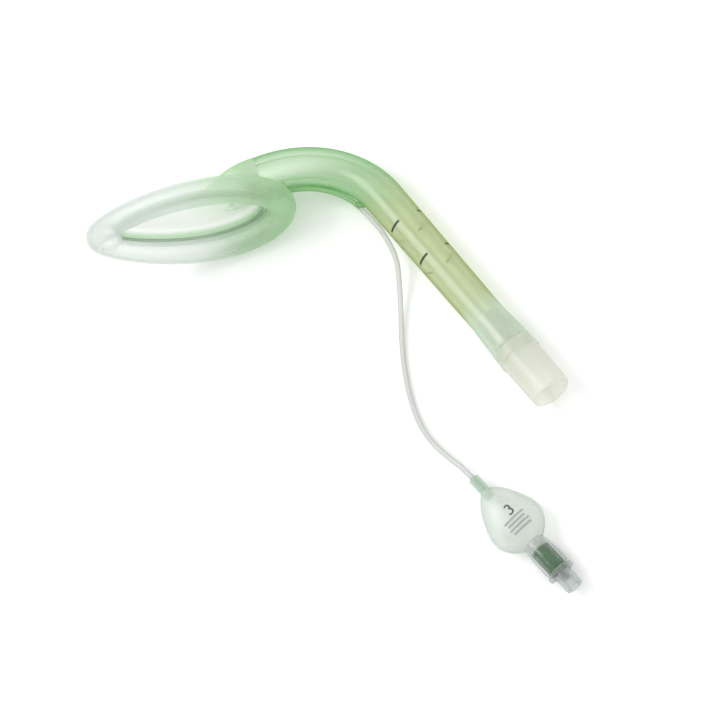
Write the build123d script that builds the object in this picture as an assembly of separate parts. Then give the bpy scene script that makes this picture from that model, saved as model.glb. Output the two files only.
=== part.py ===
from build123d import *
from math import cos, degrees, pi, radians, sin, tan
import os

# Laryngeal mask airway, size 3, single use. A clear green bent airway tube carries a 15 mm male
# connector on one end and an inflatable mask on the other. A thin inflation line runs from the
# cuff along the inner curve of the bend to a pilot balloon and a sprung check valve.
#
# The airway is drawn in its own frame: x along the mask from tip to heel, y across it and z out
# of its back, with the middle of the cuff at zero. It is then laid on its side, where it comes
# to rest on the cuff, the bend and the connector collar. Millimetres, +Z up in the end.

# Airway tube
TUBE_BORE = 10.0
TUBE_MASK_OD = 16.2
TUBE_CONNECTOR_OD = 14.4
TUBE_START_X = 23.4
TUBE_START_Z = 14.3
TUBE_RISE = 24.0
BEND_RADIUS = 44.0
BEND_ANGLE = 87.5
TUBE_STRAIGHT = 89.2
TUBE_END_WALL = 2.0
TUBE_EDGE_ROUND = 0.5

# Connector: stem inside the tube, collar against its end, and the male cone
STEM_LENGTH = 17.0
STEM_TIP_OD = 10.6
STEM_ROOT_OD = 12.3
STEM_BORE = 8.8
COLLAR_LENGTH = 4.4
COLLAR_START_OD = 16.3
COLLAR_OD = 16.9
CONE_LENGTH = 19.5
CONE_TIP_OD = 15.44
CONE_TAPER = 1 / 40
CONE_WALL = 1.5
CONNECTOR_ROUND = 0.6

# Cuff: an inflated ring of round section about a leaf-shaped loop
CUFF_HALF_LENGTH = 38.5
CUFF_HALF_WIDTH = 18.1
CUFF_WIDENING = 0.21
CUFF_FULLNESS = -0.055
CUFF_TIP_RISE = 1.4
CUFF_SECTION_RADIUS = 5.4
CUFF_SECTION_GAIN = 0.6
CUFF_WALL = 0.8
CUFF_STEPS = 12

# Swelling that joins the two sides of the cuff behind its tip
SWELLING_RADIUS = 5.8
SWELLING_SHIFT = 4.0

# Bowl behind the cuff, the chamber that leads into the tube, and the neck that holds the tube
BOWL_RIM_Z = -0.8
BOWL_FLOOR_Z = 6.0
BOWL_GAP = 0.15
BOWL_WALL = 1.2
BOWL_FLOOR = 1.6
BOWL_FLOOR_ROUND = 2.4
BOWL_STATIONS = 10
BOWL_NOSE = 1.4
BOWL_NOSE_RATE = 1.55
CHAMBER_X = 16.5
CHAMBER_HALF_LENGTH = 8.5
CHAMBER_HALF_WIDTH = 5.2
NECK_WALL = 0.6
NECK_EDGE = 0.15
NECK_LENGTH = 8.0
NECK_FOOT_X = 10.0
NECK_FOOT_Z = 1.0
NECK_FOOT_HALF_LENGTH = 15.0
NECK_FOOT_HALF_WIDTH = 8.4
HEEL_START_X = 27.0
HEEL_END_X = 41.0
HEEL_WIDTH = 8.0
HEEL_ROUND = 2.8

# Inflation line, and its port into the cuff
LINE_OD = 2.1
PORT_DIAMETER = 1.0
PORT_INSET = 0.8

# Pilot balloon, measured along its own axis from the free end of the inlet sleeve
INLET_OD = 4.0
INLET_LENGTH = 7.7
INLET_INSERT = 2.5
INLET_CHAMFER = 0.4
BALLOON_LENGTH = 27.6
BALLOON_WIDTH = 22.0
BALLOON_THICKNESS = 11.0
BALLOON_WALL = 0.5
BALLOON_NECK_LENGTH = 3.0

# Sections of the balloon: shares of its length, its width and its thickness
BALLOON_SHARES = [
    (0.09, 0.46, 0.50),
    (0.24, 0.69, 0.78),
    (0.43, 0.89, 0.95),
    (0.62, 1.00, 1.00),
    (0.80, 0.90, 0.96),
]

# Check valve: clear sleeve, green core, clear luer housing, plunger, seal and spring
SLEEVE_LENGTH = 14.0
SLEEVE_START_OD = 8.8
SLEEVE_OD = 9.9
SLEEVE_END_OD = 9.1
SLEEVE_BORE = 7.6
CORE_LENGTH = 10.4
CORE_REAR_WALL = 1.4
CORE_CHAMBER = 5.4
CORE_VENT = 1.6
SPIGOT_OD = 6.2
SPIGOT_LENGTH = 3.0
FLANGE_OD = 8.8
FLANGE_THICKNESS = 1.3
LUG_SPAN = 10.4
LUG_WIDTH = 3.2
LUG_ROUND = 0.5
PORT_LENGTH = 6.9
PORT_OD = 6.5
LUER_MOUTH = 4.33
LUER_TAPER = 0.06
LUER_DEPTH = 4.4
GUIDE_DIAMETER = 3.8
GUIDE_DEPTH = 2.8
THROAT_DIAMETER = 3.0
PLUNGER_TRAVEL = 1.5
PLUNGER_HEAD_OD = 3.5
PLUNGER_HEAD_LENGTH = 1.3
PLUNGER_STEM_OD = 2.0
PLUNGER_COLLAR_OD = 4.4
PLUNGER_COLLAR_LENGTH = 0.9
PLUNGER_TAIL_OD = 1.5
PLUNGER_TAIL_LENGTH = 2.2
SEAL_OD = 4.7
SEAL_THICKNESS = 1.05
SEAL_GAP = 0.05
STOP_GAP = 0.1
SPRING_WIRE = 0.35
SPRING_DIAMETER = 3.2
SPRING_TURNS = 4

# Rounds of fitting the table plane to the three places that touch it
REST_ROUNDS = 12

# Places on the table: the middle of the cuff, and the free end of the inlet sleeve
MASK_PLACE_X = -47.5
MASK_PLACE_Y = 41.9
PILOT_PLACE_X = 46.5
PILOT_PLACE_Y = -87.9
PILOT_HEADING = -58.3
BALLOON_CLEARANCE = 0.02

# Route of the inflation line: along the inner curve of the tube, over the table, into its sleeve
LINE_ROUTE = [
    (-10.8, 50.5, 14.35),
    (-2.5, 50.1, 12.25),
    (5.45, 47.6, 10.55),
    (12.7, 43.3, 9.25),
    (18.7, 37.3, 8.5),
    (24.5, 27.6, 8.4),
    (28.5, 19.9, 8.4),
    (31.4, 9.0, 6.6),
    (30.4, 1.0, 4.9),
    (28.2, -11.2, 2.3),
    (25.9, -25.0, 1.2),
    (25.2, -40.0, 1.2),
    (26.4, -53.5, 1.2),
    (29.2, -63.4, 1.8),
    (33.6, -71.2, 3.3),
    (38.9, -77.9, 4.9),
    (44.14, -84.07, 5.52),
    (49.65, -93.0, 5.52),
]

# Sizes that follow
TUBE_RADIUS = TUBE_MASK_OD / 2
BORE_RADIUS = TUBE_BORE / 2
BEND_CENTRE = Vector(
    TUBE_START_X + BEND_RADIUS * sin(radians(TUBE_RISE)),
    0,
    TUBE_START_Z - BEND_RADIUS * cos(radians(TUBE_RISE)),
)
BEND_AXIS = Axis(BEND_CENTRE, (0, 1, 0))


def bend_plane(angle):
    """Plane square to the tube at an angle along the bend, its z along the tube."""
    slope = radians(TUBE_RISE - angle)
    place = BEND_CENTRE + Vector(-sin(slope), 0, cos(slope)) * BEND_RADIUS
    return Plane(origin=place, x_dir=(0, 1, 0), z_dir=(cos(slope), 0, sin(slope)))


def turned(points):
    """Solid of revolution about Z of a closed outline of (radius, height) points."""
    outline = make_face(Plane.XZ * Polyline(points, close=True))
    return revolve(outline, Axis.Z)


def rod(diameter, low, high):
    """Round bar along Z between two heights."""
    return Pos(0, 0, low) * Cylinder(diameter / 2, high - low, align=(Align.CENTER, Align.CENTER, Align.MIN))


def airway_tube():
    bend_profile = bend_plane(0) * (Circle(TUBE_RADIUS) - Circle(BORE_RADIUS))
    bend = revolve(bend_profile, BEND_AXIS, revolution_arc=BEND_ANGLE)
    flare_start = TUBE_STRAIGHT - STEM_LENGTH
    end_radius = STEM_ROOT_OD / 2 + TUBE_END_WALL
    straight = turned([
        (BORE_RADIUS, 0),
        (TUBE_RADIUS, 0),
        (TUBE_CONNECTOR_OD / 2, flare_start),
        (end_radius, TUBE_STRAIGHT - TUBE_EDGE_ROUND),
        (end_radius - TUBE_EDGE_ROUND, TUBE_STRAIGHT),
        (STEM_ROOT_OD / 2, TUBE_STRAIGHT),
        (STEM_TIP_OD / 2, flare_start),
        (BORE_RADIUS, flare_start),
    ])
    return bend + bend_plane(BEND_ANGLE) * straight


def tube_connector():
    """Built along Z with zero at the tube's end, then put on the straight part's axis."""
    root_radius = CONE_TIP_OD / 2 + CONE_LENGTH * CONE_TAPER / 2
    top = COLLAR_LENGTH + CONE_LENGTH
    bore_radius = CONE_TIP_OD / 2 - CONE_WALL
    step = bore_radius - STEM_BORE / 2
    body = turned([
        (STEM_BORE / 2, -STEM_LENGTH),
        (STEM_TIP_OD / 2, -STEM_LENGTH),
        (STEM_ROOT_OD / 2, 0),
        (COLLAR_START_OD / 2, 0),
        (COLLAR_OD / 2, COLLAR_LENGTH - CONNECTOR_ROUND),
        (COLLAR_OD / 2, COLLAR_LENGTH),
        (root_radius, COLLAR_LENGTH),
        (CONE_TIP_OD / 2, top),
        (bore_radius, top),
        (bore_radius, COLLAR_LENGTH),
        (STEM_BORE / 2, COLLAR_LENGTH - step),
    ])
    rims = body.edges().filter_by(GeomType.CIRCLE).group_by(Axis.Z)[-1]
    body = fillet(rims, CONNECTOR_ROUND)
    return bend_plane(BEND_ANGLE) * Pos(0, 0, TUBE_STRAIGHT) * body


def cuff_point(turn):
    """Point of the cuff's middle line, from 0 at the heel to 180 degrees at the tip."""
    c = cos(radians(turn))
    swell = 1 + CUFF_WIDENING * c + CUFF_FULLNESS * cos(radians(2 * turn))
    return Vector(CUFF_HALF_LENGTH * c, CUFF_HALF_WIDTH * sin(radians(turn)) * swell, CUFF_TIP_RISE * c * c)


def cuff_direction(turn):
    """Direction of the middle line, square to the mirror plane at the heel and the tip."""
    along = cuff_point(turn + 1) - cuff_point(turn - 1)
    return along.normalized()


def cuff_radius(turn):
    return CUFF_SECTION_RADIUS + CUFF_SECTION_GAIN * cos(radians(turn))


def cuff_ring(wall):
    """The ring's solid, its skin moved in by a wall. One half is lofted and mirrored."""
    sections = []
    for step in range(CUFF_STEPS + 1):
        turn = 180 * step / CUFF_STEPS
        along = cuff_direction(turn)
        section = Plane(origin=cuff_point(turn), x_dir=(along.Y, -along.X, 0), z_dir=along)
        sections.append(section * Circle(cuff_radius(turn) - wall))
    half = loft(sections)
    return half, mirror(half, Plane.XZ)


def inflation_port(line_start):
    """Hole from the start of the line down into the cuff."""
    drill = rod(PORT_DIAMETER, CUFF_TIP_RISE, line_start.Z)
    return Pos(line_start.X + PORT_INSET, line_start.Y, 0) * drill


def cuff_swelling(wall):
    return Pos(cuff_point(180) + Vector(SWELLING_SHIFT, 0, 0)) * Sphere(SWELLING_RADIUS - wall)


def mask_cuff(port):
    outer, outer_mirrored = cuff_ring(0)
    inner, inner_mirrored = cuff_ring(CUFF_WALL)
    outside = outer + outer_mirrored + cuff_swelling(0)
    inside = inner + inner_mirrored + cuff_swelling(CUFF_WALL)
    return outside - inside - port


def bowl_outline(inset, height):
    """Closed face inside the cuff, moved in from the ring's inner edge by an inset."""
    side = []
    for step in range(BOWL_STATIONS):
        turn = 180 * (step + 0.5) / CUFF_STEPS
        along = cuff_direction(turn)
        inward = Vector(-along.Y, along.X, 0).normalized()
        place = cuff_point(turn) + inward * (cuff_radius(turn) + inset)
        side.append((place.X, place.Y))
    nose = cuff_point(180).X + cuff_radius(180) + BOWL_NOSE + BOWL_NOSE_RATE * inset
    other_side = [(x, -y) for x, y in reversed(side)]
    loop = Spline(side + [(nose, 0)] + other_side, periodic=True)
    return Pos(0, 0, height) * make_face(loop)


def bowl_form(inset, floor_z, corner):
    """Dish with a nearly upright side and a rounded corner, from the rim to its floor."""
    return loft([
        bowl_outline(inset, BOWL_RIM_Z),
        bowl_outline(inset + 0.1 * corner, floor_z - corner),
        bowl_outline(inset + 0.4 * corner, floor_z - 0.3 * corner),
        bowl_outline(inset + corner, floor_z),
    ])


def neck_angle():
    """Turn of the bend's arc that the neck takes up on each side of the tube's start."""
    return degrees(NECK_LENGTH / BEND_RADIUS)


def neck_outside():
    """From an oval foot in the bowl up to the bend's arc, with a wall that fades out on the tube."""
    foot = Pos(NECK_FOOT_X, 0, NECK_FOOT_Z) * Ellipse(NECK_FOOT_HALF_LENGTH, NECK_FOOT_HALF_WIDTH)
    rounds = []
    for share in (-1, -0.5, 0, 0.5, 1):
        wall = NECK_WALL + (NECK_EDGE - NECK_WALL) * share * share
        rounds.append(bend_plane(share * neck_angle()) * Circle(TUBE_RADIUS + wall))
    return loft([foot, rounds[0]]) + loft(rounds)


def neck_inside():
    """Chamber over the hole in the bowl's floor, and the lumen's arc from it to the tube."""
    hole = Pos(CHAMBER_X, 0, BOWL_FLOOR_Z - BOWL_FLOOR) * Ellipse(CHAMBER_HALF_LENGTH, CHAMBER_HALF_WIDTH)
    lumen = bend_plane(-neck_angle()) * Circle(BORE_RADIUS)
    return loft([hole, lumen]) + revolve(lumen, BEND_AXIS, revolution_arc=neck_angle())


def tube_round_bar():
    """The bend without its bore, to cut its seat."""
    return revolve(bend_plane(0) * Circle(TUBE_RADIUS), BEND_AXIS, revolution_arc=BEND_ANGLE)


def heel():
    """Web between the underside of the tube and the cuff, where the line comes in."""
    height = TUBE_START_Z - CUFF_TIP_RISE
    block = Box(HEEL_END_X - HEEL_START_X, HEEL_WIDTH, height, align=(Align.MIN, Align.CENTER, Align.MIN))
    block = fillet(block.edges().filter_by(Axis.Z), HEEL_ROUND)
    return Pos(HEEL_START_X, 0, CUFF_TIP_RISE) * block


def mask_backplate(line, port):
    """Bowl, neck and heel in one moulding, hollowed for the chamber and fitted to its neighbours."""
    bowl = bowl_form(BOWL_GAP, BOWL_FLOOR_Z + BOWL_FLOOR, BOWL_FLOOR_ROUND + BOWL_FLOOR / 2)
    web = heel()
    for half in cuff_ring(0):
        web -= half
    body = bowl + neck_outside() + web
    body -= bowl_form(BOWL_GAP + BOWL_WALL, BOWL_FLOOR_Z, BOWL_FLOOR_ROUND)
    body -= neck_inside()
    return body - tube_round_bar() - cuff_swelling(0) - line - port


def line_radii():
    """Bend radii of the line's route: 0.45 of the shorter run over the tangent of half the turn."""
    points = [Vector(*point) for point in LINE_ROUTE]
    radii = []
    for before, corner, after in zip(points, points[1:], points[2:]):
        turn = (corner - before).get_angle(after - corner)
        shorter = min((corner - before).length, (after - corner).length)
        radii.append(0.45 * shorter / tan(radians(turn / 2)))
    return radii


def inflation_line():
    """The line's own solid, with its bend radii, its length and its volume printed."""
    radii = line_radii()
    path = FilletPolyline(*LINE_ROUTE, radius=radii)
    start = Plane(origin=path @ 0, z_dir=path % 0)
    tube = sweep(start * Circle(LINE_OD / 2), path=path)
    straight_volume = pi * LINE_OD**2 / 4 * path.length
    print("line radii", [round(radius, 1) for radius in radii])
    print("line length", round(path.length, 1), "volume ratio", round(tube.volume / straight_volume, 4))
    return tube


def balloon_form(wall, end_step):
    """Flattened drop, lofted along its axis. Its skin is moved in by a wall, its ends by a step."""
    inlet = INLET_OD / 2 + BALLOON_WALL - end_step
    neck = SLEEVE_BORE / 2 - end_step
    sections = [Circle(inlet)]
    for along, wide, thick in BALLOON_SHARES:
        oval = Ellipse(thick * BALLOON_THICKNESS / 2 - wall, wide * BALLOON_WIDTH / 2 - wall)
        sections.append(Pos(0, 0, along * BALLOON_LENGTH) * oval)
    sections.append(Pos(0, 0, BALLOON_LENGTH) * Circle(neck))
    return loft(sections)


def pilot_balloon():
    """The balloon and its neck, which plugs into the valve's sleeve."""
    end = INLET_LENGTH + BALLOON_LENGTH
    neck_end = end + BALLOON_NECK_LENGTH
    skin = balloon_form(0, 0) - balloon_form(BALLOON_WALL, 2 * BALLOON_WALL)
    balloon = Pos(0, 0, INLET_LENGTH) * skin + rod(SLEEVE_BORE, end, neck_end)
    balloon -= rod(SLEEVE_BORE - 2 * BALLOON_WALL, end - BALLOON_NECK_LENGTH, neck_end)
    return balloon - rod(INLET_OD, 0, INLET_LENGTH + INLET_INSERT)


def balloon_inlet_sleeve():
    sleeve = rod(INLET_OD, 0, INLET_LENGTH + INLET_INSERT)
    sleeve -= rod(LINE_OD, 0, INLET_LENGTH + INLET_INSERT)
    return chamfer(sleeve.edges().filter_by(GeomType.CIRCLE).group_by(Axis.Z)[0], INLET_CHAMFER)


def valve_sleeve():
    return turned([
        (SLEEVE_BORE / 2, 0),
        (SLEEVE_START_OD / 2, 0),
        (SLEEVE_OD / 2, SLEEVE_LENGTH / 2),
        (SLEEVE_OD / 2, 0.85 * SLEEVE_LENGTH),
        (SLEEVE_END_OD / 2, SLEEVE_LENGTH),
        (SLEEVE_BORE / 2, SLEEVE_LENGTH),
    ])


def valve_core():
    """Green cup that holds the spring. Valve pieces have zero at the luer flange."""
    body = rod(SLEEVE_BORE, -CORE_LENGTH, 0)
    body -= rod(CORE_CHAMBER, CORE_REAR_WALL - CORE_LENGTH, 0)
    body -= rod(CORE_VENT, -CORE_LENGTH, 0)
    return body - rod(SPIGOT_OD, -SPIGOT_LENGTH, 0)


def valve_housing():
    """Clear luer port with its flange, lugs and the spigot whose end is the valve seat."""
    port_top = FLANGE_THICKNESS + PORT_LENGTH
    luer_bottom = port_top - LUER_DEPTH
    mouth = LUER_MOUTH / 2
    body = turned([
        (THROAT_DIAMETER / 2, -SPIGOT_LENGTH),
        (SPIGOT_OD / 2, -SPIGOT_LENGTH),
        (SPIGOT_OD / 2, 0),
        (FLANGE_OD / 2, 0),
        (FLANGE_OD / 2, FLANGE_THICKNESS),
        (PORT_OD / 2, FLANGE_THICKNESS),
        (PORT_OD / 2, port_top),
        (mouth, port_top),
        (mouth - LUER_DEPTH * LUER_TAPER / 2, luer_bottom),
        (GUIDE_DIAMETER / 2, luer_bottom),
        (GUIDE_DIAMETER / 2, luer_bottom - GUIDE_DEPTH),
        (THROAT_DIAMETER / 2, luer_bottom - GUIDE_DEPTH),
    ])
    lugs = Box(LUG_WIDTH, LUG_SPAN, FLANGE_THICKNESS, align=(Align.CENTER, Align.CENTER, Align.MIN))
    lugs = fillet(lugs.edges().filter_by(Axis.Z), LUG_ROUND)
    return body + (lugs - rod(PORT_OD, 0, FLANGE_THICKNESS))


def seal_top():
    return -SPIGOT_LENGTH - SEAL_GAP


def collar_top():
    return seal_top() - SEAL_THICKNESS


def valve_plunger():
    """One turned stem: head in the luer port, collar behind the seal, tail in the spring."""
    head_base = FLANGE_THICKNESS + PORT_LENGTH - LUER_DEPTH - GUIDE_DEPTH + PLUNGER_TRAVEL + STOP_GAP
    collar_base = collar_top() - PLUNGER_COLLAR_LENGTH
    return turned([
        (0, collar_base - PLUNGER_TAIL_LENGTH),
        (PLUNGER_TAIL_OD / 2, collar_base - PLUNGER_TAIL_LENGTH),
        (PLUNGER_TAIL_OD / 2, collar_base),
        (PLUNGER_COLLAR_OD / 2, collar_base),
        (PLUNGER_COLLAR_OD / 2, collar_top()),
        (PLUNGER_STEM_OD / 2, collar_top()),
        (PLUNGER_STEM_OD / 2, head_base),
        (PLUNGER_HEAD_OD / 2, head_base),
        (PLUNGER_HEAD_OD / 2, head_base + PLUNGER_HEAD_LENGTH),
        (0, head_base + PLUNGER_HEAD_LENGTH),
    ])


def valve_seal():
    return rod(SEAL_OD, collar_top(), seal_top()) - rod(PLUNGER_STEM_OD, collar_top(), seal_top())


def valve_spring():
    """Coil between the core's rear wall and the plunger's collar."""
    low = CORE_REAR_WALL - CORE_LENGTH + SPRING_WIRE / 2
    high = collar_top() - PLUNGER_COLLAR_LENGTH - SPRING_WIRE / 2
    coil = Helix(pitch=(high - low) / SPRING_TURNS, height=high - low, radius=SPRING_DIAMETER / 2)
    wire = Plane(origin=coil @ 0, z_dir=coil % 0) * Circle(SPRING_WIRE / 2)
    return Pos(0, 0, low) * sweep(wire, path=coil, is_frenet=True)


def lowest(centre, along, radius, down):
    """Point of a round bar's skin that lies furthest down."""
    across = down - along * down.dot(along)
    return centre + across.normalized() * radius


def rest_points(down):
    """The three places that touch the table: on the cuff, on the bend and on the collar."""
    cuff = [lowest(cuff_point(turn), cuff_direction(turn), cuff_radius(turn), down) for turn in range(30, 151)]
    bend = []
    for step in range(101):
        plane = bend_plane(BEND_ANGLE * step / 100)
        bend.append(lowest(plane.origin, plane.z_dir, TUBE_RADIUS, down))
    straight = bend_plane(BEND_ANGLE)
    collar_centre = straight.origin + straight.z_dir * (TUBE_STRAIGHT + COLLAR_LENGTH)
    collar = lowest(collar_centre, straight.z_dir, COLLAR_OD / 2, down)
    return max(cuff, key=down.dot), max(bend, key=down.dot), collar


def airway_place():
    """Lays the airway on the table, with the middle of the cuff over its named place."""
    down = Vector(0, 1, 0)
    for _ in range(REST_ROUNDS):
        on_cuff, on_bend, on_collar = rest_points(down)
        down = (on_bend - on_cuff).cross(on_collar - on_cuff).normalized()
        down = down if down.Y > 0 else -down
    up = -down
    foot = down * on_cuff.dot(down)
    ahead = Vector(1, 0, 0) - up * up.X
    table = Plane(origin=foot, x_dir=ahead, z_dir=up)
    return Pos(MASK_PLACE_X, MASK_PLACE_Y, 0) * table.location.inverse()


def pilot_place():
    """Lays the balloon flat on the table, with its axis along the heading."""
    height = BALLOON_THICKNESS / 2 + BALLOON_CLEARANCE
    return Pos(PILOT_PLACE_X, PILOT_PLACE_Y, height) * Rot(0, 0, PILOT_HEADING) * Rot(0, 90, 0)


def main():
    airway = airway_place()
    pilot = pilot_place()
    sleeve = pilot * Pos(0, 0, INLET_LENGTH + BALLOON_LENGTH)
    valve = sleeve * Pos(0, 0, SLEEVE_LENGTH)
    line = inflation_line()
    line_start = (airway.inverse() * Pos(LINE_ROUTE[0])).position
    port = inflation_port(line_start)
    nodes = {
        "airway_tube": airway * airway_tube(),
        "tube_connector": airway * tube_connector(),
        "mask_cuff": airway * mask_cuff(port),
        "mask_backplate": airway * mask_backplate(airway.inverse() * line, port),
        "inflation_line": line,
        "balloon_inlet_sleeve": pilot * balloon_inlet_sleeve(),
        "pilot_balloon": pilot * pilot_balloon(),
        "valve_sleeve": sleeve * valve_sleeve(),
        "valve_core": valve * valve_core(),
        "valve_housing": valve * valve_housing(),
        "valve_plunger": valve * valve_plunger(),
        "valve_seal": valve * valve_seal(),
        "valve_spring": valve * valve_spring(),
    }
    os.makedirs("parts", exist_ok=True)
    for name, solid in nodes.items():
        export_step(solid, f"parts/{name}.step")


main()
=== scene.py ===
import bpy
from math import cos, pi, radians, sin
from mathutils import Matrix, Vector
from mathutils.bvhtree import BVHTree


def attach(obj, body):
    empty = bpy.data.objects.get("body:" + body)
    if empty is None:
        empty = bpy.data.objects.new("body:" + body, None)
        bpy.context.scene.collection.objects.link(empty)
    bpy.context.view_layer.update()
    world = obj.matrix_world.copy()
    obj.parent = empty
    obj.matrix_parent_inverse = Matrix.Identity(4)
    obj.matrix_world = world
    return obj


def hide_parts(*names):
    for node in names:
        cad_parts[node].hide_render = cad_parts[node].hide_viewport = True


# A single-use laryngeal mask airway lying on its side on a white table. Lengths are in
# millimetres and turned into metres by mm(), except those of the table and the lamps.

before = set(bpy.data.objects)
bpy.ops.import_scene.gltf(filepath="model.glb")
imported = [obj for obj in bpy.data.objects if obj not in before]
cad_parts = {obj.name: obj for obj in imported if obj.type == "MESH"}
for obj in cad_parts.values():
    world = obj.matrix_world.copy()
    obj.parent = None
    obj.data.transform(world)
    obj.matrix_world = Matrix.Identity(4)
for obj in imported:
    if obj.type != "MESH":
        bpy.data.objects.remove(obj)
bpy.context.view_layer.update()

# Camera, fitted to the photograph
CAMERA_PLACE = (216.66, -281.32, 569.99)
CAMERA_RIGHT = (0.90777, -0.13656, -0.39661)
CAMERA_UP = (0.27236, 0.91098, 0.30973)
CAMERA_BACK = (0.31901, -0.38919, 0.86416)
CAMERA_LENS = 83.497
SENSOR_WIDTH = 36

# Table and studio light, in metres and watts
TABLE_SIZE = 4
WORLD_STRENGTH = 0.9
KEY_LAMP = {"place": (-0.55, 0.25, 0.8), "size": 0.5, "power": 4}
FILL_LAMP = {"place": (0.7, -0.6, 0.9), "size": 0.9, "power": 2}

# The airway's own frame on the table: x from tip to heel, y across, z out of the mask's back
MASK_MIDDLE = Vector((-47.5, 41.9, 27.627))
MASK_X = Vector((0.9677, 0.0, -0.2521))
MASK_Y = Vector((-0.2498, -0.1342, -0.9589))
MASK_Z = Vector((-0.0338, 0.991, -0.1299))

# Airway tube in that frame, the same as the solid
TUBE_START_X = 23.4
TUBE_START_Z = 14.3
TUBE_RISE = 24.0
BEND_RADIUS = 44.0
BEND_ANGLE = 87.5
TUBE_STRAIGHT = 89.2
STEM_LENGTH = 17.0
TUBE_RADIUS = 8.1
TUBE_NARROW_RADIUS = 7.2
TUBE_END_RADIUS = 8.15
TUBE_EDGE_ROUND = 0.5
LUMEN_RADIUS = 5.0
STEM_TIP_RADIUS = 5.32
STEM_ROOT_RADIUS = 6.17
TUBE_AROUND = 96
TUBE_STEPS = 160

# The tube's start lies inside the neck over this length, and is slimmer there by the slack
NECK_OVERLAP = 8.0
NECK_SLACK = 0.12

# Depth marks: dashes on two rings of the straight part, each with its middle and span in degrees
MARK_PLACES = (17.4, 37.2)
MARK_TURNS = ((47, 35), (137, 35), (219, 20), (317, 45))
MARK_WIDTH = 1.0
MARK_LIFT = 0.08
MARK_STEPS = 10

# Spans of the mask's colours: the cuff's from heel to tip, the backplate's out of its back
CUFF_HALF_LENGTH = 38.5
BACKPLATE_LOW = -1.0
BACKPLATE_HIGH = 16.0

# Inflation line: the route's corners on the table, and its size
LINE_ROUTE = [
    (-10.8, 50.5, 14.35),
    (-2.5, 50.1, 12.25),
    (5.45, 47.6, 10.55),
    (12.7, 43.3, 9.25),
    (18.7, 37.3, 8.5),
    (24.5, 27.6, 8.4),
    (28.5, 19.9, 8.4),
    (31.4, 9.0, 6.6),
    (30.4, 1.0, 4.9),
    (28.2, -11.2, 2.3),
    (25.9, -25.0, 1.2),
    (25.2, -40.0, 1.2),
    (26.4, -53.5, 1.2),
    (29.2, -63.4, 1.8),
    (33.6, -71.2, 3.3),
    (38.9, -77.9, 4.9),
    (44.14, -84.07, 5.52),
    (49.65, -93.0, 5.52),
]
LINE_DIAMETER = 2.1

# Where the line's colour turns from the tube's green to its own, by its x on the table
GLUED_END = 19.5
FREE_START = 21.5

# Drop of adhesive at that place: half sizes, and its heading on the table
GLUE_PLACE = Vector((20.6, 35.6, 9.3))
GLUE_HALF_SIZES = (2.2, 1.3, 1.2)
GLUE_AHEAD = Vector((0.82, -0.57, 0))
GLUE_SIDE = Vector((0.57, 0.82, 0))
GLUE_UP = Vector((0, 0, 1))
GLUE_STEPS = 12
GLUE_AROUND = 24

# Pilot balloon: its inlet's free end and its heading on the table
PILOT_PLACE = Vector((46.5, -87.9, 5.52))
PILOT_HEADING = -58.3

# Print on the balloon: its middle, its lift off the film, and the height it is cast down from
LABEL_ALONG = 21.0
LABEL_ACROSS = 2.0
PRINT_LIFT = 0.05
PRINT_CAST = 30

# The number's two arcs, as middle, radius and first and last degree, and the bars below it
DIGIT_ARCS = ((0.95, 0.9, 145, -80), (-1.0, 1.1, 80, -145))
DIGIT_STEPS = 14
DIGIT_WIDTH = 0.62
BAR_ROWS = 4
BAR_FIRST = 3.6
BAR_STEP = 1.7
BAR_REACH = 4.4
BAR_SHORTENING = 0.5
BAR_SHIFT = 0.6
BAR_STEPS = 12
BAR_WIDTH = 0.8

# Plastics: the largest share of light that a surface mirrors, the fine grain's scale, darkest
# tone, strength and depth in metres, and how white the light is that passes straight through
GLOSS_MOST = 0.06
FINE_SCALE = 900
FINE_DARKEST = 0.96
FINE_STRENGTH = 0.15
FINE_DEPTH = 0.0002
CLEAR_WHITE = 0.75

# Grain of ink and steel, and the part of the noise that all grain spreads out
DENSE_SCALE = 2500
NOISE_LOW = 0.3
NOISE_HIGH = 0.7

# Sizes that follow
BEND_LENGTH = radians(BEND_ANGLE) * BEND_RADIUS
TUBE_LENGTH = BEND_LENGTH + TUBE_STRAIGHT
STEM_START = TUBE_STRAIGHT - STEM_LENGTH
BEND_CENTRE = Vector((
    TUBE_START_X + BEND_RADIUS * sin(radians(TUBE_RISE)),
    0,
    TUBE_START_Z - BEND_RADIUS * cos(radians(TUBE_RISE)),
))


def mm(value):
    """Millimetres to metres: one number, or a vector."""
    if isinstance(value, (int, float)):
        return value / 1000
    return Vector(value) / 1000


def on_table(point):
    """A point of the airway's own frame, in millimetres, to its place on the table."""
    return MASK_MIDDLE + MASK_X * point[0] + MASK_Y * point[1] + MASK_Z * point[2]


def between(first, last, share):
    return first + (last - first) * share


def srgb(code):
    """Linear colour of a hex colour."""
    parts = [int(code[i:i + 2], 16) / 255 for i in (1, 3, 5)]
    linear = [p / 12.92 if p <= 0.04045 else ((p + 0.055) / 1.055) ** 2.4 for p in parts]
    return (*linear, 1.0)


# Camera, line and stage

def camera():
    made = bpy.data.objects.new("camera", bpy.data.cameras.new("camera"))
    made.data.lens = CAMERA_LENS
    made.data.sensor_width = SENSOR_WIDTH
    made.data.sensor_fit = "HORIZONTAL"
    turn = Matrix((CAMERA_RIGHT, CAMERA_UP, CAMERA_BACK)).transposed().to_4x4()
    made.matrix_world = Matrix.Translation(mm(CAMERA_PLACE)) @ turn
    bpy.context.scene.collection.objects.link(made)
    bpy.context.scene.camera = made


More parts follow.
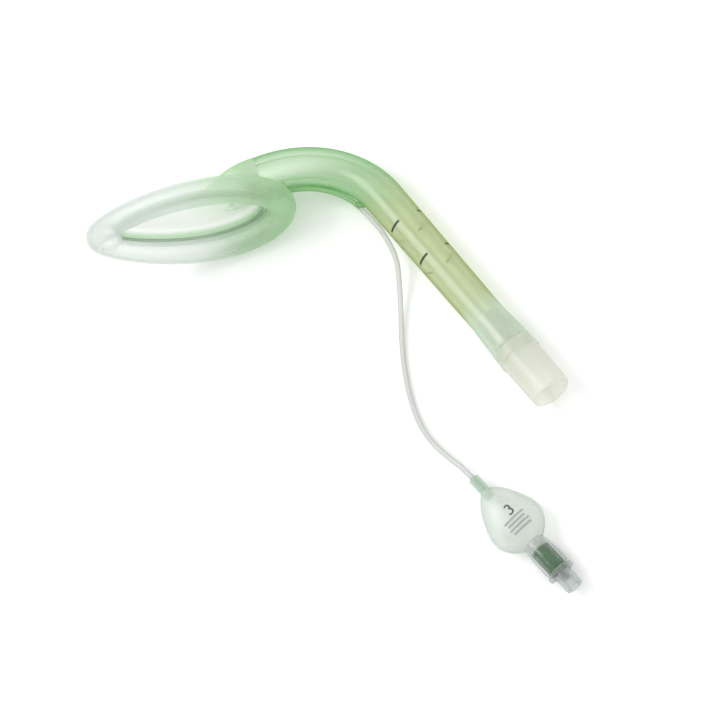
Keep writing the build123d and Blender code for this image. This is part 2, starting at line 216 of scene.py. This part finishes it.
def inflation_line():
    curve = bpy.data.curves.new("line", "CURVE")
    curve.dimensions = "3D"
    curve.bevel_depth = mm(LINE_DIAMETER) / 2
    curve.bevel_resolution = 8
    curve.resolution_u = 16
    curve.use_fill_caps = True
    spline = curve.splines.new("NURBS")
    spline.points.add(len(LINE_ROUTE) - 1)
    for point, place in zip(spline.points, LINE_ROUTE):
        point.co = (*mm(place), 1)
    spline.order_u = 3
    spline.use_endpoint_u = True
    made = bpy.data.objects.new("line", curve)
    bpy.context.scene.collection.objects.link(made)
    return made


def stage():
    bpy.ops.mesh.primitive_plane_add(size=TABLE_SIZE)
    floor = bpy.context.object
    floor.name = "floor"
    table, _, _ = material("white_table", base_color=srgb("#FCFCFC"), roughness=0.9)
    floor.data.materials.append(table)


def lamp(name, place, size, power):
    """Square lamp that shines at the middle of the table."""
    light = bpy.data.lights.new(name, "AREA")
    light.size = size
    light.energy = power
    made = bpy.data.objects.new(name, light)
    made.location = place
    made.rotation_euler = Vector(place).to_track_quat("Z", "Y").to_euler()
    bpy.context.scene.collection.objects.link(made)


def lights():
    world = bpy.data.worlds.new("studio")
    world.use_nodes = True
    background = world.node_tree.nodes["Background"]
    background.inputs["Color"].default_value = (1, 1, 1, 1)
    background.inputs["Strength"].default_value = WORLD_STRENGTH
    bpy.context.scene.world = world
    lamp("key", **KEY_LAMP)
    lamp("fill", **FILL_LAMP)


# Node helpers

def node(tree, kind, inputs=None, **settings):
    """Adds a node, sets its properties, and fills or links its inputs."""
    made = tree.nodes.new(kind)
    for name, value in settings.items():
        setattr(made, name, value)
    for key, value in (inputs or {}).items():
        if isinstance(value, bpy.types.NodeSocket):
            tree.links.new(value, made.inputs[key])
        else:
            made.inputs[key].default_value = value
    return made


def material(name, **inputs):
    """A material with a Principled shader, its sockets set from words like base_color."""
    made = bpy.data.materials.new(name)
    made.use_nodes = True
    tree = made.node_tree
    shader = tree.nodes["Principled BSDF"]
    for key, value in inputs.items():
        socket = key.replace("_", " ").title().replace("Ior", "IOR")
        shader.inputs[socket].default_value = value
    return made, tree, shader


def ramp(tree, factor, stops):
    """Colour ramp over (place, hex colour) stops."""
    made = node(tree, "ShaderNodeValToRGB", {"Fac": factor})
    elements = made.color_ramp.elements
    while len(elements) < len(stops):
        elements.new(1.0)
    for element, (place, code) in zip(elements, stops):
        element.position = place
        element.color = srgb(code)
    return made.outputs["Color"]


def spread(tree, value, low=0.0, high=1.0, to_low=0.0, to_high=1.0):
    """A value's place between low and high, carried over to the span from to_low to to_high."""
    made = node(tree, "ShaderNodeMapRange", {"Value": value, "From Min": low, "From Max": high,
                                             "To Min": to_low, "To Max": to_high})
    return made.outputs["Result"]


def grain(tree, scale, low, high):
    """Fine variation from noise on object coordinates, between two values."""
    place = node(tree, "ShaderNodeTexCoord").outputs["Object"]
    noise = node(tree, "ShaderNodeTexNoise", {"Vector": place, "Scale": scale, "Detail": 4})
    return spread(tree, noise.outputs["Fac"], NOISE_LOW, NOISE_HIGH, low, high)


def facing(tree, blend, low=0.0, high=1.0):
    """From low where a surface faces the eye to high at its edges."""
    layer = node(tree, "ShaderNodeLayerWeight", {"Blend": blend})
    return spread(tree, layer.outputs["Facing"], to_low=low, to_high=high)


def mix_colour(tree, factor, first, second):
    """Mix of two colours, each a hex colour or a socket."""
    made = node(tree, "ShaderNodeMix", {"Factor": factor}, data_type="RGBA")
    for index, value in ((6, first), (7, second)):
        if isinstance(value, str):
            made.inputs[index].default_value = srgb(value)
        else:
            tree.links.new(value, made.inputs[index])
    return made.outputs[2]


def mix_shader(tree, share, first, second):
    """Mix of two shader nodes, where share is the second's."""
    return node(tree, "ShaderNodeMixShader", {0: share, 1: first.outputs[0], 2: second.outputs[0]})


def milky(name, middle, edge, opacity, roughness=0.3, blend=0.4, glow=0.5, gloss=0.3):
    """Translucent plastic: light passes straight through, is scattered, or shines back.

    middle and edge are the body's colours where it faces the eye and at its outline, and
    opacity is the share of scattered light at those two. Each is a value, or a function that
    makes the nodes for it. glow is the share of the scattered light that goes on inwards."""
    made, tree, shader = material(name, roughness=roughness, specular_ior_level=0.0)
    looks = [look(tree) if callable(look) else look for look in (middle, edge, *opacity)]
    middle, edge, clearest, densest = looks
    colour = mix_colour(tree, facing(tree, blend), middle, edge)
    fine = grain(tree, FINE_SCALE, FINE_DARKEST, 1.0)
    body = node(tree, "ShaderNodeMix", {"Factor": 1.0, 6: colour, 7: fine}, data_type="RGBA",
                blend_type="MULTIPLY").outputs[2]
    bump = node(tree, "ShaderNodeBump", {"Height": fine, "Strength": FINE_STRENGTH,
                                         "Distance": FINE_DEPTH}).outputs["Normal"]
    tree.links.new(body, shader.inputs["Base Color"])
    tree.links.new(bump, shader.inputs["Normal"])
    inwards = node(tree, "ShaderNodeBsdfTranslucent", {"Color": body})
    scattered = mix_shader(tree, glow, shader, inwards)
    tint = mix_colour(tree, CLEAR_WHITE, body, "#FFFFFF")
    clear = node(tree, "ShaderNodeBsdfTransparent", {"Color": tint})
    plastic = mix_shader(tree, facing(tree, blend, clearest, densest), clear, scattered)
    shine = node(tree, "ShaderNodeBsdfGlossy", {"Roughness": roughness, "Normal": bump})
    fresnel = node(tree, "ShaderNodeFresnel").outputs[0]
    mirrored = node(tree, "ShaderNodeMath", {0: fresnel, 1: GLOSS_MOST}, operation="MINIMUM")
    share = node(tree, "ShaderNodeMath", {0: mirrored.outputs[0], 1: gloss}, operation="MULTIPLY")
    surface = mix_shader(tree, share.outputs[0], plastic, shine)
    tree.links.new(surface.outputs[0], tree.nodes["Material Output"].inputs["Surface"])
    return made


def ink(name, roughness, darker, lighter):
    """Printed ink, slightly uneven."""
    made, tree, shader = material(name, roughness=roughness)
    colour = mix_colour(tree, grain(tree, DENSE_SCALE, 0.0, 1.0), darker, lighter)
    tree.links.new(colour, shader.inputs["Base Color"])
    return made


# Materials

def along_tube(stops):
    """Colour by the attribute that runs from 0 to 1 along the tube."""
    def colour(tree):
        place = node(tree, "ShaderNodeAttribute", attribute_name="along")
        return ramp(tree, place.outputs["Fac"], stops)
    return colour


def fading_in(opacity):
    """Opacity of the tube: it clears towards its start, inside the neck's own wall."""
    def share(tree):
        place = node(tree, "ShaderNodeAttribute", attribute_name="along")
        return spread(tree, place.outputs["Fac"], 0.0, NECK_OVERLAP / TUBE_LENGTH, 0.0, opacity)
    return share


def tube_materials():
    """PVC of the skin and the lumen, coloured along the tube: green bend, pale over the stem, and an
    olive straight part whose yellow is a painted reflection.
    """
    # the yellow-olive stops from 0.48 to 0.84 are a painted reflection on the straight part, not the
    # plastic's own tint
    middle = along_tube([(0.0, "#E2F3DB"), (0.35, "#E2F4DB"), (0.5, "#F1F8DC"),
                         (0.84, "#F2F8E0"), (0.88, "#F0FAF0"), (1.0, "#F4FBF2")])
    edge = along_tube([(0.0, "#70BA65"), (0.35, "#78BF6D"), (0.48, "#9DB05A"),
                       (0.84, "#96A94C"), (0.89, "#C6DFC2"), (1.0, "#D2E2CD")])
    lumen_edge = along_tube([(0.0, "#93CB88"), (0.35, "#9ACD8E"), (0.48, "#AFC46C"),
                             (0.84, "#B3C670"), (0.88, "#BBDCBC"), (1.0, "#C8DEC5")])
    outside = milky("clear_green_pvc", middle, edge, (fading_in(0.06), fading_in(0.88)),
                    roughness=0.22, blend=0.65, gloss=1.0)
    lumen = milky("clear_green_pvc_lumen", middle, lumen_edge, (fading_in(0.04), fading_in(0.6)),
                  blend=0.3, gloss=0.2)
    return outside, lumen


def across_mask(axis, low, high, stops):
    """Colour along an axis of the airway's own frame, between two places."""
    def colour(tree):
        place = node(tree, "ShaderNodeTexCoord").outputs["Object"]
        offset = node(tree, "ShaderNodeVectorMath", {0: place, 1: mm(MASK_MIDDLE)},
                      operation="SUBTRACT").outputs["Vector"]
        along = node(tree, "ShaderNodeVectorMath", {0: offset, 1: axis},
                     operation="DOT_PRODUCT").outputs["Value"]
        return ramp(tree, spread(tree, along, mm(low), mm(high)), stops)
    return colour


def heel_to_tip(stops):
    """Colour along the cuff, from 0 at its heel to 1 at its tip."""
    return across_mask(MASK_X, CUFF_HALF_LENGTH, -CUFF_HALF_LENGTH, stops)


def cuff_material():
    """Film: nearly white towards the tip, greener at the heel."""
    middle = heel_to_tip([(0.0, "#DFF3DA"), (0.3, "#EBF6E9"), (0.5, "#F7FAF7"), (1.0, "#F7FAF8")])
    edge = heel_to_tip([(0.0, "#B9DDB2"), (0.3, "#C6E0C4"), (0.5, "#CFDDD2"), (1.0, "#BFCBC3")])
    return milky("frosted_film", middle, edge, (0.2, 0.7), roughness=0.36, blend=0.35, glow=0.6,
                 gloss=0.5)


def out_of_back(lip, shadow_line, wall, floor, neck):
    """Colour of the backplate's parts, from the bowl's lip out to the neck."""
    # the band from 0.165 to 0.185 is painted shade: a dark, nearly opaque shadow line between the lip
    # and the wall
    return across_mask(MASK_Z, BACKPLATE_LOW, BACKPLATE_HIGH, [
        (0.0, lip), (0.15, lip), (0.165, shadow_line), (0.185, shadow_line), (0.2, wall), (0.32, wall),
        (0.38, floor), (0.5, floor), (0.58, neck), (1.0, neck),
    ])


def backplate_material():
    """PVC, green on the wall and neck, pale on the floor and lip, with a painted dark shadow line
    between the lip and the wall.
    """
    # the second colour of each call is the painted shadow line between the lip and the wall
    middle = out_of_back("#EEF3EF", "#6E8F68", "#B9DAB3", "#F4F6F3", "#F0FAEC")
    edge = out_of_back("#DCE7DE", "#5F8159", "#8DC384", "#E9EFE8", "#B0DDA4")
    clearest = out_of_back("#4A4A4A", "#C8C8C8", "#959595", "#959595", "#E1E1E1")
    densest = out_of_back("#6A6A6A", "#F0F0F0", "#F1F1F1", "#F1F1F1", "#F9F9F9")
    return milky("frosted_pvc", middle, edge, (clearest, densest))


def line_colour(free, glued):
    """The line's own colour past the glue, and the tube's green where it lies along the bend."""
    def colour(tree):
        place = node(tree, "ShaderNodeTexCoord").outputs["Object"]
        across = node(tree, "ShaderNodeSeparateXYZ", {"Vector": place}).outputs["X"]
        return mix_colour(tree, spread(tree, across, mm(GLUED_END), mm(FREE_START)), glued, free)
    return colour


def line_material():
    return milky("clear_line", line_colour("#EEF0ED", "#B4DAA8"), line_colour("#B2B5B2", "#86BF79"),
                 (0.8, 1.0), roughness=0.25, gloss=0.5)


def steel_material():
    made, tree, shader = material("spring_steel", base_color=srgb("#A8ACAE"), metallic=1.0)
    tree.links.new(grain(tree, DENSE_SCALE, 0.22, 0.4), shader.inputs["Roughness"])
    return made


def dress_solids():
    """Materials of the nodes that keep their solid's mesh."""
    looks = {
        "tube_connector": milky("milky_plastic", "#FAFBF5", "#D9DBCF", (0.42, 0.9),
                                blend=0.3, glow=0.7, gloss=0.6),
        "mask_backplate": backplate_material(),
        "mask_cuff": cuff_material(),
        "balloon_inlet_sleeve": milky("pale_sleeve", "#D9E9DB", "#B9D3BC", (0.4, 0.9),
                                      roughness=0.25, gloss=0.5),
        "pilot_balloon": milky("balloon_film", "#FAFDFA", "#A6B9AA", (0.18, 0.8),
                               roughness=0.25, blend=0.25, gloss=0.5),
        "valve_sleeve": milky("clear_sleeve", "#F8FBF9", "#A9B5AD", (0.04, 0.65),
                              roughness=0.12, blend=0.3, glow=0.3, gloss=0.8),
        "valve_core": milky("green_plastic", "#2F7E38", "#215A28", (0.85, 1.0), glow=0.3),
        "valve_housing": milky("clear_housing", "#E3E9E6", "#8E9A94", (0.2, 0.9),
                               roughness=0.1, blend=0.3, glow=0.3, gloss=1.0),
        "valve_plunger": milky("dark_plastic", "#22402A", "#1A3320", (0.97, 1.0),
                               roughness=0.4, glow=0.1),
        "valve_seal": milky("seal_rubber", "#262A27", "#1C1F1D", (1.0, 1.0),
                            roughness=0.6, glow=0.0),
        "valve_spring": steel_material(),
    }
    for name, made in looks.items():
        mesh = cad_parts[name].data
        mesh.materials.clear()
        mesh.materials.append(made)


# Mesh helpers

def mesh_object(name, points, faces):
    """A smooth piece that is fixed to the airway, from points in millimetres on the table."""
    mesh = bpy.data.meshes.new(name)
    mesh.from_pydata([mm(p) for p in points], [], faces)
    mesh.shade_smooth()
    made = bpy.data.objects.new(name, mesh)
    bpy.context.scene.collection.objects.link(made)
    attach(made, "airway")
    return made


def skin(rings, closed):
    """Quads between rings of points, and on to the first ring again where closed."""
    around = len(rings[0])
    points = [p for ring in rings for p in ring]
    faces = []
    last = len(rings) if closed else len(rings) - 1
    for i in range(last):
        a = i * around
        b = (i + 1) % len(rings) * around
        for j in range(around):
            k = (j + 1) % around
            faces.append((a + j, a + k, b + k, b + j))
    return points, faces


def strip(first, count):
    """Quads of a band whose points come in pairs, from the number of its first point."""
    return [(k, k + 1, k + 3, k + 2) for k in range(first, first + 2 * count, 2)]


# Airway tube

def tube_point(s, turn, radius):
    """Point about the tube, at a length from its start and a turn from the bend's inner side."""
    slope = radians(TUBE_RISE) - min(s, BEND_LENGTH) / BEND_RADIUS
    along = Vector((cos(slope), 0, sin(slope)))
    inward = Vector((sin(slope), 0, -cos(slope)))
    centre = BEND_CENTRE - inward * BEND_RADIUS + along * max(s - BEND_LENGTH, 0)
    return on_table(centre + (inward * cos(turn) + Vector((0, 1, 0)) * sin(turn)) * radius)


def tube_ring(s, radius):
    return [tube_point(s, 2 * pi * i / TUBE_AROUND, radius) for i in range(TUBE_AROUND)]


def tube_outside(s):
    """Outer radius: slimmed a little under the neck so that the two skins don't meet."""
    straight = s - BEND_LENGTH
    if s < NECK_OVERLAP:
        return TUBE_RADIUS - NECK_SLACK
    if straight < 0:
        return TUBE_RADIUS
    if straight < STEM_START:
        return between(TUBE_RADIUS, TUBE_NARROW_RADIUS, straight / STEM_START)
    return between(TUBE_NARROW_RADIUS, TUBE_END_RADIUS, (straight - STEM_START) / STEM_LENGTH)


def tube_inside(s):
    """Radius of the lumen, which widens over the connector's stem."""
    in_stem = s - BEND_LENGTH - STEM_START
    if in_stem < 0:
        return LUMEN_RADIUS
    return between(STEM_TIP_RADIUS, STEM_ROOT_RADIUS, in_stem / STEM_LENGTH)


def airway_tube():
    """Skin and lumen in one closed mesh, the skin's last ring drawn in for the rounded end."""
    stations = [TUBE_LENGTH * i / TUBE_STEPS for i in range(TUBE_STEPS + 1)]
    outer = [tube_ring(s, tube_outside(s)) for s in stations[:-1]]
    outer.append(tube_ring(TUBE_LENGTH, TUBE_END_RADIUS - TUBE_EDGE_ROUND))
    inner = [tube_ring(s, tube_inside(s)) for s in reversed(stations)]
    points, faces = skin(outer + inner, True)
    made = mesh_object("tube", points, faces)
    shares = [s / TUBE_LENGTH for s in stations for _ in range(TUBE_AROUND)]
    along = made.data.attributes.new("along", "FLOAT", "POINT")
    along.data.foreach_set("value", shares + shares[::-1])
    for finish in tube_materials():
        made.data.materials.append(finish)
    for polygon in made.data.polygons:
        ring = polygon.vertices[0] // TUBE_AROUND
        polygon.material_index = int(len(outer) <= ring < len(outer + inner) - 1)
    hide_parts("airway_tube")
    return made


def depth_marks():
    """Short dark dashes, printed on two rings round the straight part."""
    points, faces = [], []
    for place in MARK_PLACES:
        for middle, span in MARK_TURNS:
            faces += strip(len(points), MARK_STEPS)
            for i in range(MARK_STEPS + 1):
                turn = radians(middle - span / 2 + span * i / MARK_STEPS)
                for side in (-0.5, 0.5):
                    s = BEND_LENGTH + place + side * MARK_WIDTH
                    points.append(tube_point(s, turn, tube_outside(s) + MARK_LIFT))
    made = mesh_object("depth_marks", points, faces)
    made.data.materials.append(ink("mark_ink", 0.5, "#141A12", "#20271E"))


# Print on the pilot balloon, and the drop of adhesive

def pilot_point(along, across, up):
    """Point by the balloon's axis, in millimetres from its inlet's free end."""
    heading = radians(PILOT_HEADING)
    ahead = Vector((cos(heading), sin(heading), 0))
    side = Vector((-sin(heading), cos(heading), 0))
    return PILOT_PLACE + ahead * along + side * across + Vector((0, 0, up))


def ribbon(film, path, width):
    """Printed stroke: a path of (right, up) places, cast down on to the balloon's upper face."""
    points = []
    for k, place in enumerate(path):
        ahead = Vector(path[min(k + 1, len(path) - 1)]) - Vector(path[max(k - 1, 0)])
        across = Vector((-ahead.y, ahead.x)).normalized() * width / 2
        for side in (-1, 1):
            right, up = Vector(place) + across * side
            above = mm(pilot_point(LABEL_ALONG - up, LABEL_ACROSS + right, PRINT_CAST))
            hit = film.ray_cast(above, Vector((0, 0, -1)))[0]
            points.append((hit + mm((0, 0, PRINT_LIFT))) * 1000)
    return points, strip(0, len(path) - 1)


def arc(middle, radius, start, end):
    turns = [radians(between(start, end, i / DIGIT_STEPS)) for i in range(DIGIT_STEPS + 1)]
    return [(cos(t) * radius, middle + sin(t) * radius) for t in turns]


def bar(row):
    """Path of one bar, every second one a little shorter."""
    height = -BAR_FIRST - BAR_STEP * row
    reach = BAR_REACH - BAR_SHORTENING * (row % 2)
    return [(between(-reach, reach, i / BAR_STEPS) - BAR_SHIFT, height) for i in range(BAR_STEPS + 1)]


def printing():
    """The size number, and plain bars where small print would be."""
    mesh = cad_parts["pilot_balloon"].data
    film = BVHTree.FromPolygons([v.co for v in mesh.vertices],
                                [tuple(p.vertices) for p in mesh.polygons])
    digit = [place for each in DIGIT_ARCS for place in arc(*each)]
    strokes = [(digit, DIGIT_WIDTH, ("#3A403B", "#4A504B"))]
    strokes += [(bar(row), BAR_WIDTH, ("#8B938D", "#A4ABA5")) for row in range(BAR_ROWS)]
    for number, (path, width, tones) in enumerate(strokes):
        made = mesh_object(f"print_{number}", *ribbon(film, path, width))
        made.data.materials.append(ink(f"label_ink_{number}", 0.6, *tones))


def glue_drop():
    """Drop of adhesive where the line leaves the tube, in rings about its length."""
    length, width, height = GLUE_HALF_SIZES
    rings = []
    for i in range(1, GLUE_STEPS):
        a = pi * i / GLUE_STEPS
        ring = []
        for j in range(GLUE_AROUND):
            b = 2 * pi * j / GLUE_AROUND
            ring.append(GLUE_PLACE + GLUE_AHEAD * (cos(a) * length)
                        + GLUE_SIDE * (sin(a) * cos(b) * width)
                        + GLUE_UP * (sin(a) * sin(b) * height))
        rings.append(ring)
    points, faces = skin(rings, False)
    last = len(points) - GLUE_AROUND
    faces += [tuple(reversed(range(GLUE_AROUND))), tuple(range(last, len(points)))]
    made = mesh_object("glue_drop", points, faces)
    made.data.materials.append(milky("adhesive", "#A9D69C", "#6DAF62", (0.6, 0.95),
                                     roughness=0.15, gloss=1.0))


camera()
line = inflation_line()
line.data.materials.append(line_material())
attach(line, "airway")
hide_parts("inflation_line")
stage()
lights()
bpy.context.scene.view_settings.view_transform = "Standard"
dress_solids()
tube = airway_tube()
depth_marks()
printing()
glue_drop()
